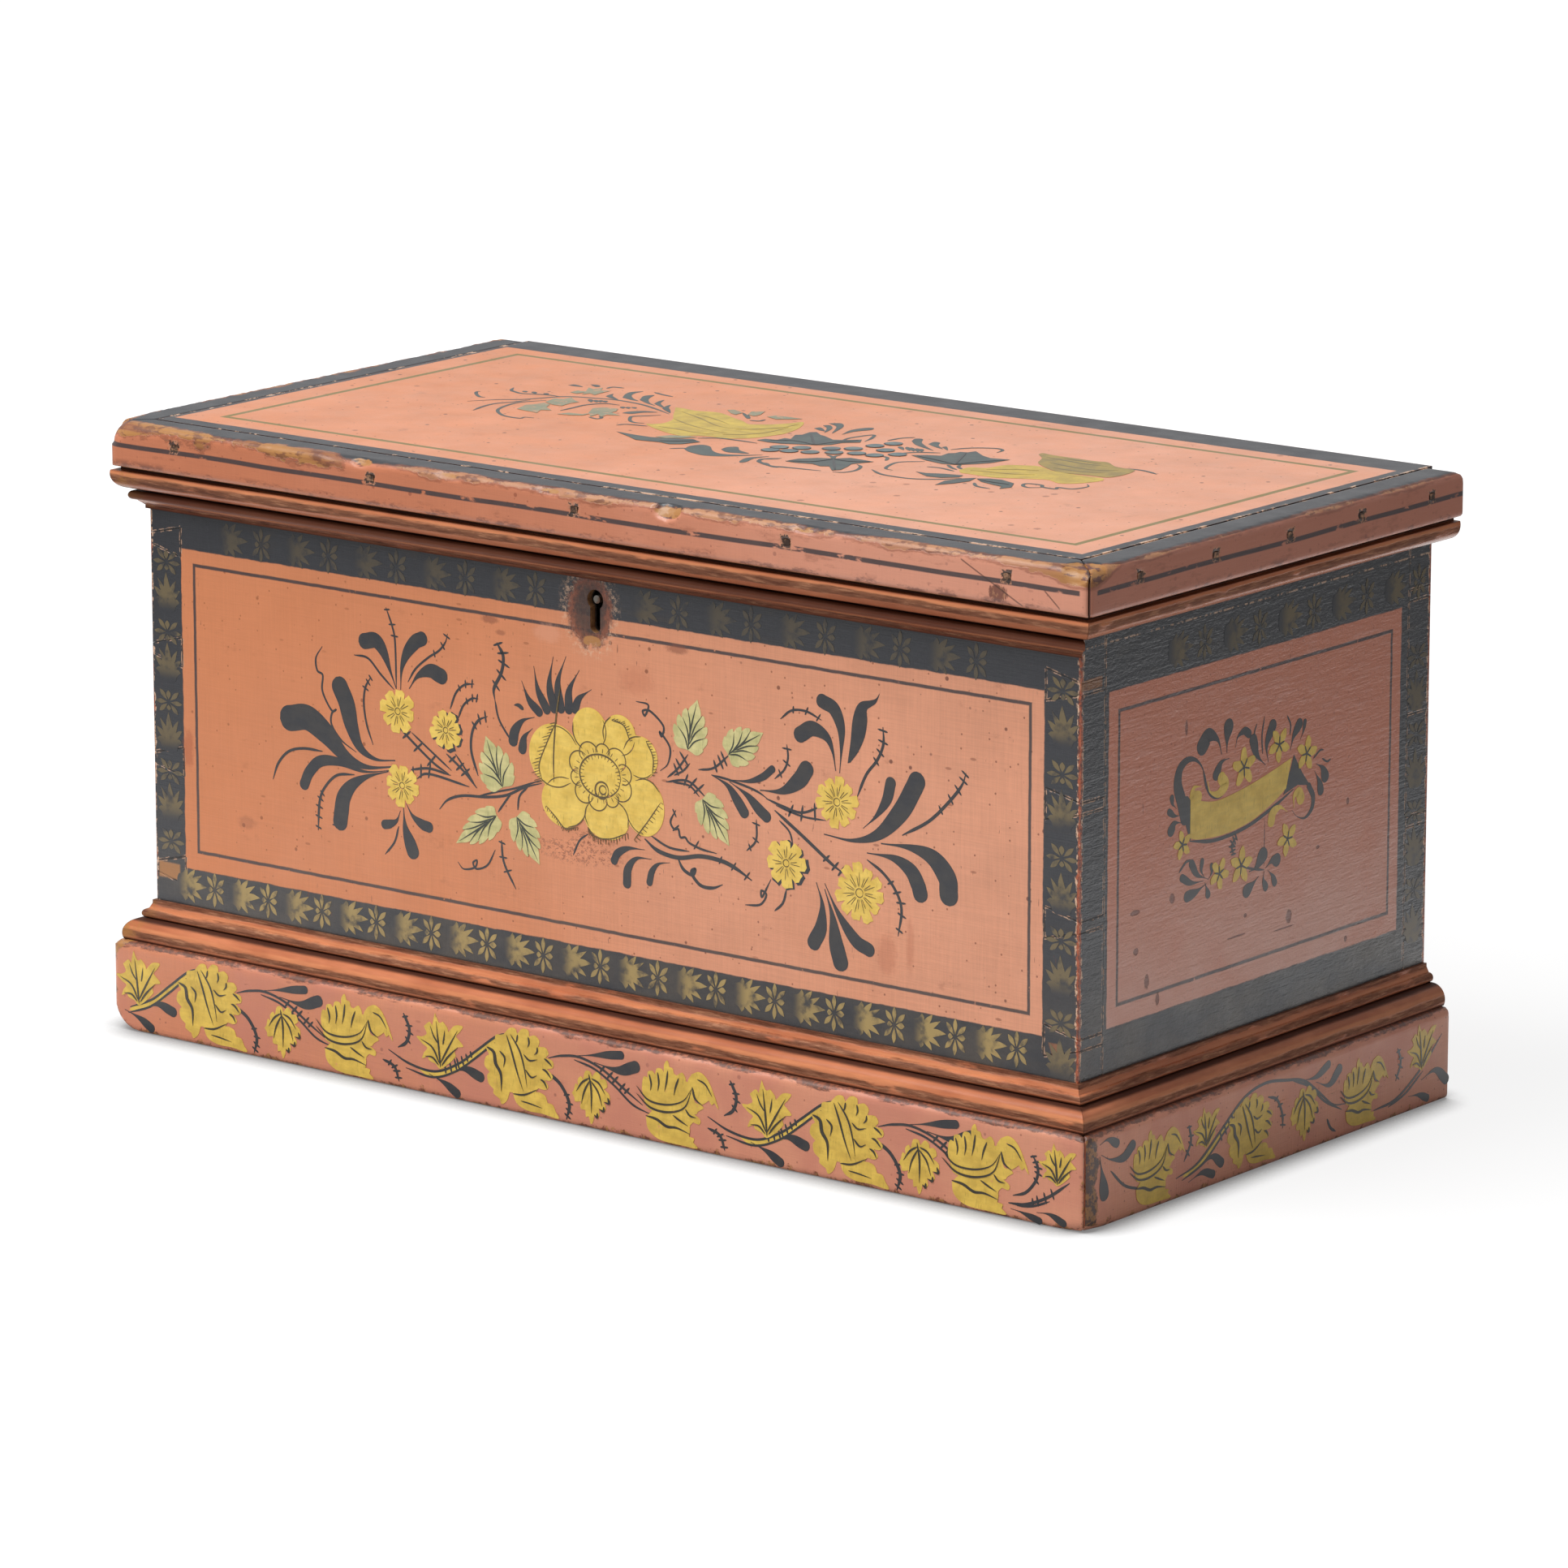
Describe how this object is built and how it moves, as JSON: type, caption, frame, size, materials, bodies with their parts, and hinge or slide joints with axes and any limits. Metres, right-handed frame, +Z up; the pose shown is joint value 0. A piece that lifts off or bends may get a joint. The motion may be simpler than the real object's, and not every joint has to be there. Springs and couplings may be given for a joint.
{
  "type": "document box",
  "caption": "Antique painted wooden document box with dovetailed corners, moulded plinth, mitred lid edges, butt hinges and a chest lock.",
  "frame": {"origin": "under the middle of the case, on the plane that the box stands on", "axes": "+X to the right along the front, +Y to the back, +Z up; the front with the keyhole faces -Y"},
  "size_m": [0.486, 0.2469, 0.25],
  "materials": {
    "case_paint": "worn black and salmon paint on wood",
    "salmon_paint": "worn salmon paint on wood",
    "moulding_paint": "rubbed salmon paint on wood",
    "bare_wood": "bare aged softwood",
    "nail_iron": "rusted iron",
    "hinge_iron": "dark iron",
    "lock_iron": "dark iron"
  },
  "bodies": {
    "case": {"front_board": "case_paint", "back_board": "case_paint", "left_board": "case_paint", "right_board": "case_paint", "plinth_front": "salmon_paint", "plinth_left": "salmon_paint", "plinth_right": "salmon_paint", "base_moulding_front": "moulding_paint", "base_moulding_left": "moulding_paint", "base_moulding_right": "moulding_paint", "case_bead_front": "moulding_paint", "case_bead_left": "moulding_paint", "bottom_board": "bare_wood", "plinth_nails": "nail_iron", "bottom_nails": "nail_iron", "hinge_case_leaf_left": "hinge_iron", "hinge_case_leaf_right": "hinge_iron", "hinge_pin_left": "hinge_iron", "hinge_pin_right": "hinge_iron", "hinge_case_screws": "hinge_iron", "lock_plate": "lock_iron", "lock_box": "lock_iron", "lock_spring": "lock_iron", "key_pin": "lock_iron", "lock_screws": "lock_iron"},
    "lid": {"lid_board": "salmon_paint", "lid_strip_front": "salmon_paint", "lid_strip_left": "salmon_paint", "lid_strip_right": "salmon_paint", "lid_moulding_front": "moulding_paint", "lid_moulding_left": "moulding_paint", "lid_moulding_right": "moulding_paint", "lid_nails": "nail_iron", "hinge_lid_leaf_left": "hinge_iron", "hinge_lid_leaf_right": "hinge_iron", "hinge_lid_screws": "hinge_iron", "strike_plate": "lock_iron", "strike_screws": "lock_iron"},
    "bolt": {"lock_bolt": "lock_iron"}
  },
  "joints": [
    {"name": "lid_hinge", "type": "hinge", "parent": "case", "child": "lid", "pos_m": [0, 0.1159, 0.232], "axis": [-1, 0, 0], "range_deg": [0, 105]},
    {"name": "bolt_slide", "type": "slide", "parent": "case", "child": "bolt", "axis": [1, 0, 0], "range_m": [0, 0.007]}
  ]
}
